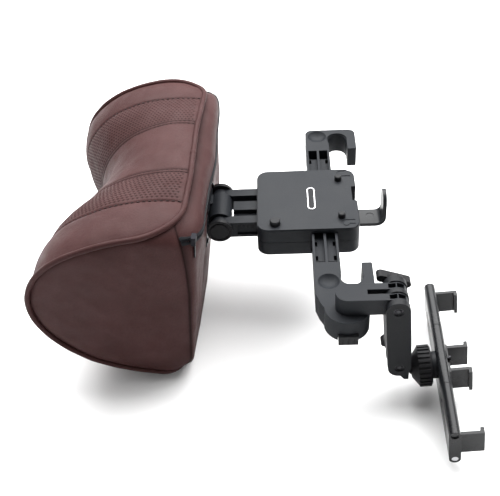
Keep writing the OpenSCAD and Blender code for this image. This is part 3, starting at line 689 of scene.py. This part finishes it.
def back_surface_x(y, z):
    """How far back the padded back stands: fuller towards its top, flat under the bracket."""
    flat = -0.25
    full = 4.8 + 3.4 * np.clip(z / 60, -1, 1) - 5.6 * ramp(y, 0, 85)
    rise = np.maximum(ramp(np.abs(y), 30, 14), ramp(np.abs(z - 8), 32, 12))
    rise = rise * rise * (3 - 2 * rise)
    return flat + (full - flat) * rise


def crowded(count):
    """Shares from 0 to 1 that stand closer together towards both ends."""
    share = np.linspace(0, 1, count)
    return share - EDGE_CROWDING * np.sin(2 * math.pi * share)


def back_panel(wrap, near_seam, far_seam):
    """The back: it rolls over from the piping and the end seams into a nearly flat padded face."""
    a, b = crowded(BACK_COLS), crowded(BACK_ROWS)
    top, bottom = (sampled(resampled(line, BACK_COLS), a) for line in back_rim(wrap))
    near, far = (sampled(resampled(line, BACK_ROWS), b) for line in (near_seam, far_seam))
    a, b = a[None, :, None], b[:, None, None]
    corners = (1 - a) * (1 - b) * top[0] + a * (1 - b) * top[-1]
    corners += (1 - a) * b * bottom[0] + a * b * bottom[-1]
    patch = (1 - b) * top[None] + b * bottom[None]
    patch += (1 - a) * near[:, None] + a * far[:, None] - corners
    y, z = patch[..., 1], patch[..., 2]
    turned = np.zeros_like(y)
    nearest = np.full_like(y, np.inf)
    for line, roll in ((top[None], TOP_ROLL), (bottom[None], BOTTOM_ROLL),
                       (near[:, None], NEAR_ROLL), (far[:, None], FAR_ROLL)):
        gap = np.linalg.norm((patch - line)[..., 1:], axis=-1)
        turned += np.clip(1 - gap / roll, 0, 1) ** 2
        nearest = np.minimum(nearest, gap)
    rolled = np.sqrt(np.clip(1 - turned, 0, 1))
    x = patch[..., 0] * (1 - rolled) + back_surface_x(y, z) * rolled
    x += (0.5 * waves(patch, 55, 21) + 0.15 * waves(patch, 18, 22)) * ramp(nearest, 0, 12)
    # painted shade along the back's edges, where it rolls over to the piping and the end seams
    crease_shade = np.clip(0.8 * fade(nearest, 0.9), 0, 1)
    return np.stack([x, y, z], -1), crease_shade


def surface_lookup(panel, y, z):
    """Points and normals of the back panel at given y and z, from its nearest grid points."""
    flat = panel.reshape(-1, 3)
    normals = grid_normals(panel).reshape(-1, 3)
    normals *= np.sign(normals[:, 0].mean())
    points, directions = [], []
    for yi, zi in zip(y, z):
        gap = (flat[:, 1] - yi) ** 2 + (flat[:, 2] - zi) ** 2
        nearest = np.argsort(gap)[:6]
        weight = 1 / (gap[nearest] + 0.2)
        weight /= weight.sum()
        points.append(weight @ flat[nearest])
        directions.append(weight @ normals[nearest])
    directions = np.array(directions)
    return np.array(points), directions / np.linalg.norm(directions, axis=1, keepdims=True)


def stitch(centre, ahead, out, length, radius):
    """One short thread: a small capsule that dips into the leather at both ends."""
    s = np.linspace(-1, 1, 5)
    line = centre + ahead * (s[:, None] * length / 2) - out * (radius * 1.1 * s[:, None] ** 4)
    return tube(line, radius * np.sqrt(1.02 - s**2 * 0.75), 6, up=out)


def stitch_row(surface, normal, columns, y, pitch, length, radius, proud):
    """Stitches along the wrap at a distance y from the middle."""
    right = np.searchsorted(columns, y)
    share = (y - columns[right - 1]) / (columns[right] - columns[right - 1])
    line = surface[:, right - 1] * (1 - share) + surface[:, right] * share
    path = evenly(line, pitch)
    rows = np.linspace(0, len(line) - 1, len(path)).round().astype(int)
    parts = []
    for i in range(1, len(path) - 1):
        ahead = path[i + 1] - path[i - 1]
        ahead /= np.linalg.norm(ahead)
        out = normal[rows[i], right]
        parts.append(stitch(path[i] + out * proud, ahead, out, length, radius))
    return parts


def make_pillow():
    wrap, normal, crease_shade, columns = puffed_wrap()
    near_seam, far_seam = end_seam(wrap, True), end_seam(wrap, False)
    back = back_panel(wrap, near_seam, far_seam)
    near_face, far_face = end_face(wrap, near_seam, True), end_face(wrap, far_seam, False)
    points, faces, crease_shades, start = [], [], [], 0
    for grid, shade in ((wrap, crease_shade), near_face, far_face, back):
        rows, cols = grid.shape[:2]
        quads = grid_faces(rows, cols, start)
        middle = (rows // 2, cols // 2)
        # the quads turn the other way from grid_normals
        if grid_normals(grid)[middle] @ (grid[middle] - PILLOW_MIDDLE) > 0:
            quads = quads[:, ::-1]
        points.append(grid.reshape(-1, 3))
        crease_shades.append(shade.ravel())
        faces += quads.tolist()
        start += rows * cols
    # the painted shade of every panel goes with the cover as a point attribute
    cover = new_mesh("pillow_leather_cover", from_pillow(np.concatenate(points)), faces,
                     FINISHES["pillow_leather"], {"crease_shade": np.concatenate(crease_shades)})
    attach(cover, "pillow")
    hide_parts("pillow_cover", "pillow_foam")
    make_piping(wrap, normal)
    make_stitches(wrap, normal, columns)
    make_zipper(back[0])


def make_piping(wrap, normal):
    """Welted piping round the whole front panel, its two ends joined behind the top."""
    loop = boundary_loop(wrap) + boundary_loop(normal) * 1.1
    path = smoothed(evenly(loop, PIPING_STEP, closed=True), 5)
    along = np.arange(len(path)) * PIPING_STEP
    radius = PIPING_R * (1 + 0.025 * np.sin(along / 3.1) + 0.02 * np.sin(along / 7.7 + 1))
    join = np.argmin(np.linalg.norm(path - np.array([BACK_X, -12.0, HALF_H]), axis=1))
    radius[join - 1:join + 2] *= (0.86, 1.16, 1.1)
    points, faces = tube(path, radius, 12, closed=True)
    piping = new_mesh("pillow_piping", from_pillow(points), faces, PIPING_LEATHER)
    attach(piping, "pillow")


def make_stitches(wrap, normal, columns):
    """Twin rows of fine stitches at the inner seams, single heavier rows at the outer ones."""
    parts = []
    surface = (wrap, normal, columns)
    for seam in SEAMS[1:3]:
        for y in (seam - TWIN_GAP, seam + TWIN_GAP):
            parts += stitch_row(*surface, y, pitch=3.6, length=2.5, radius=0.3, proud=0.1)
    for y in (SEAMS[0], SEAMS[3]):
        parts += stitch_row(*surface, y, pitch=4.3, length=2.6, radius=0.75, proud=0.45)
    points, faces = joined(parts)
    thread = new_mesh("pillow_stitches", from_pillow(points), faces, THREAD)
    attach(thread, "pillow")


def zipper_tape(panel, y, z):
    """The tape as a grid of points: a hump on either side of the teeth, its edges tucked in."""
    strips = []
    for share in np.linspace(-1, 1, 9):
        p, n = surface_lookup(panel, y, z + share * TAPE_HALF_WIDTH)
        lift = 0.55 + 0.35 * bell(abs(share) - 0.35, 0.2) - 0.5 * bell(share, 0.12)
        lift -= 0.7 * (abs(share) > 0.95)
        strips.append(smoothed(p + n * lift, 4, closed=False))
    return np.stack(strips, 0)


def zipper_teeth(panel, y, z):
    p, n = surface_lookup(panel, y, z)
    line = evenly(smoothed(p + n * 0.5, 4, closed=False), TOOTH_PITCH)
    up = np.array([0.2, 0, 1.0])
    reach = np.linspace(-1, 1, 4)[:, None] * up * 0.9
    parts = []
    for i in range(1, len(line) - 1):
        ahead = line[i + 1] - line[i - 1]
        ahead /= np.linalg.norm(ahead)
        parts.append(tube(reach + line[i], 0.42, 6, up=ahead))
    return joined(parts)


def make_zipper(panel):
    """Zipper along the back's upper edge: a woven tape under closed teeth, rising at both ends."""
    y = np.linspace(-NEAR_END + 4.0, FAR_END - 3.4, 220)
    z = ZIPPER_Z + 3 * ramp(np.abs(y), 72, 24) ** 2
    tape = zipper_tape(panel, y, z)
    quads = grid_faces(*tape.shape[:2])
    if grid_normals(tape)[4, 110] @ np.array([1.0, 0, 0.2]) > 0:
        quads = quads[:, ::-1]
    points = from_pillow(tape.reshape(-1, 3))
    strip = new_mesh("zipper_tape_woven", points, quads, FINISHES["zipper_fabric"])
    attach(strip, "pillow")
    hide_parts("zipper_tape")
    points, faces = zipper_teeth(panel, y, z)
    teeth = new_mesh("zipper_teeth", from_pillow(points), faces, FINISHES["zipper_metal"])
    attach(teeth, "pillow")


# ---------- stage, in metres ----------

FLOOR_GAP = 0.002
FLOOR_HALF = 6.0
LIGHT_AIM = Vector((-0.03, -0.03, 0.0))


def make_floor():
    low = CAD_BOX[0][2] - FLOOR_GAP
    corners = ((-1, -1), (1, -1), (1, 1), (-1, 1))
    points = [(x * FLOOR_HALF, y * FLOOR_HALF, low) for x, y in corners]
    n = Nodes("studio_floor")
    shade = n.spread(n.noise(3, 2), 0.3, 0.7, 0.0, 1.0)
    n.set(Base_Color=n.mix(shade, (0.87, 0.87, 0.87), (0.885, 0.885, 0.885)), Roughness=0.85)
    floor = new_mesh("studio_floor", points, [(0, 1, 2, 3)], n.material, smooth=False)


def area_light(name, at, size, power):
    data = bpy.data.lights.new(name, "AREA")
    data.shape = "RECTANGLE"
    data.size, data.size_y = size
    data.energy = power
    obj = bpy.data.objects.new(name, data)
    bpy.context.scene.collection.objects.link(obj)
    obj.location = at
    obj.rotation_euler = (LIGHT_AIM - Vector(at)).to_track_quat("-Z", "Y").to_euler()


def make_lights():
    world = bpy.data.worlds.new("studio")
    bpy.context.scene.world = world
    world.use_nodes = True
    background = world.node_tree.nodes["Background"]
    background.inputs["Color"].default_value = (1, 1, 1, 1)
    background.inputs["Strength"].default_value = 0.38
    area_light("overhead", (0.05, 0.70, 1.25), (2.6, 1.6), 124)
    area_light("left_fill", (-1.2, 0.2, 1.0), (0.9, 0.9), 4)
    area_light("right_edge", (1.1, 0.3, 0.7), (0.4, 0.9), 2.5)


def make_camera():
    """The photo's viewpoint, from a perspective fit of the housing and the arms."""
    right = Vector((0.99895, 0.0058, -0.0454))
    up = Vector((0.0297, 0.672, 0.740))
    back = right.cross(up).normalized()
    up = back.cross(right).normalized()
    data = bpy.data.cameras.new("camera")
    data.sensor_width = 36
    data.lens = 66.07
    data.clip_end = 30
    camera = bpy.data.objects.new("camera", data)
    bpy.context.scene.collection.objects.link(camera)
    turn = Matrix((right.normalized(), up, back)).transposed().to_4x4()
    camera.matrix_world = Matrix.Translation((-0.0210, -0.5698, 0.4901)) @ turn
    bpy.context.scene.camera = camera
    bpy.context.scene.view_settings.view_transform = "Standard"


# ---------- small pieces on the mechanism, in metres ----------

INLAY_INSET = 0.0009
INLAY_SUNK = 0.0002
INLAY_PROUD = 0.00012


def make_badge_inlay():
    """Dark enamel field inside the badge's bright rim, left plain."""
    low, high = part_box("badge_plate")
    centre = [(a + b) / 2 for a, b in zip(low, high)]
    radius = (high[0] - low[0]) / 2 - INLAY_INSET
    reach = (high[1] - low[1]) / 2 - INLAY_INSET - radius
    outline = []
    for i in range(48):
        t = math.pi * i / 24
        y = centre[1] + radius * math.sin(t) + math.copysign(reach, math.sin(t))
        outline.append((centre[0] + radius * math.cos(t), y))
    count = len(outline)
    levels = (high[2] - INLAY_SUNK, high[2] + INLAY_PROUD)
    points = [(x, y, level) for level in levels for x, y in outline]
    faces = [tuple(range(count, 2 * count))]
    faces += [(i, (i + 1) % count, count + (i + 1) % count, count + i) for i in range(count)]
    enamel = plastic_material("badge_enamel", (0.010, 0.0105, 0.012), 0.5, 0.00002, 0.0001, 0.1)
    inlay = new_mesh("badge_inlay", points, faces, enamel, smooth=False)
    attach(inlay, "housing")


SPRING_WIRE = 0.0004
SPRING_TURNS = 6
SPRING_STEPS = 16      # points to a turn
# spring, joint that presses it, its body, axis along the coil (1 = Y, 2 = Z), side that stays put,
# and the joint's travel
SPRINGS = (
    ("arm_release_spring", "arm_release_press", "housing", 2, "low", 0.003),
    ("right_release_spring", "right_release_press", "housing", 2, "low", 0.003),
    ("left_release_spring", "left_release_press", "housing", 2, "low", 0.003),
    ("pivot_release_spring", "pivot_release_press", "left_post_arm", 1, "high", 0.0018),
)


def make_springs():
    """Coil springs under the release buttons, each drawn in the box of its CAD node and carried by
    its body.
    """
    for node, joint, body, axis, fixed, travel in SPRINGS:
        low, high = (np.array(corner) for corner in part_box(node))
        first, second = (k for k in range(3) if k != axis)
        centre = (low + high) / 2
        height = high[axis] - low[axis]
        radius = (high[first] - low[first]) / 2 - SPRING_WIRE
        share = np.linspace(0, 1, SPRING_TURNS * SPRING_STEPS + 1)
        turn = 2 * math.pi * SPRING_TURNS * share
        path = np.tile(centre, (len(share), 1))
        path[:, first] += radius * np.cos(turn)
        path[:, second] += radius * np.sin(turn)
        path[:, axis] = low[axis] + SPRING_WIRE + (height - 2 * SPRING_WIRE) * share
        along = np.eye(3)[axis]
        points, faces = tube(path, SPRING_WIRE, 8, up=along)
        coil = new_mesh(node + "_coil", points, faces, FINISHES["spring_steel"])
        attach(coil, body)
        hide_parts(node)
        anchor = centre.copy()
        anchor[axis] = low[axis] if fixed == "low" else high[axis]
        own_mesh(coil)


make_camera()
dress_cad_nodes()
make_springs()
make_badge_inlay()
make_pillow()
make_floor()
make_lights()
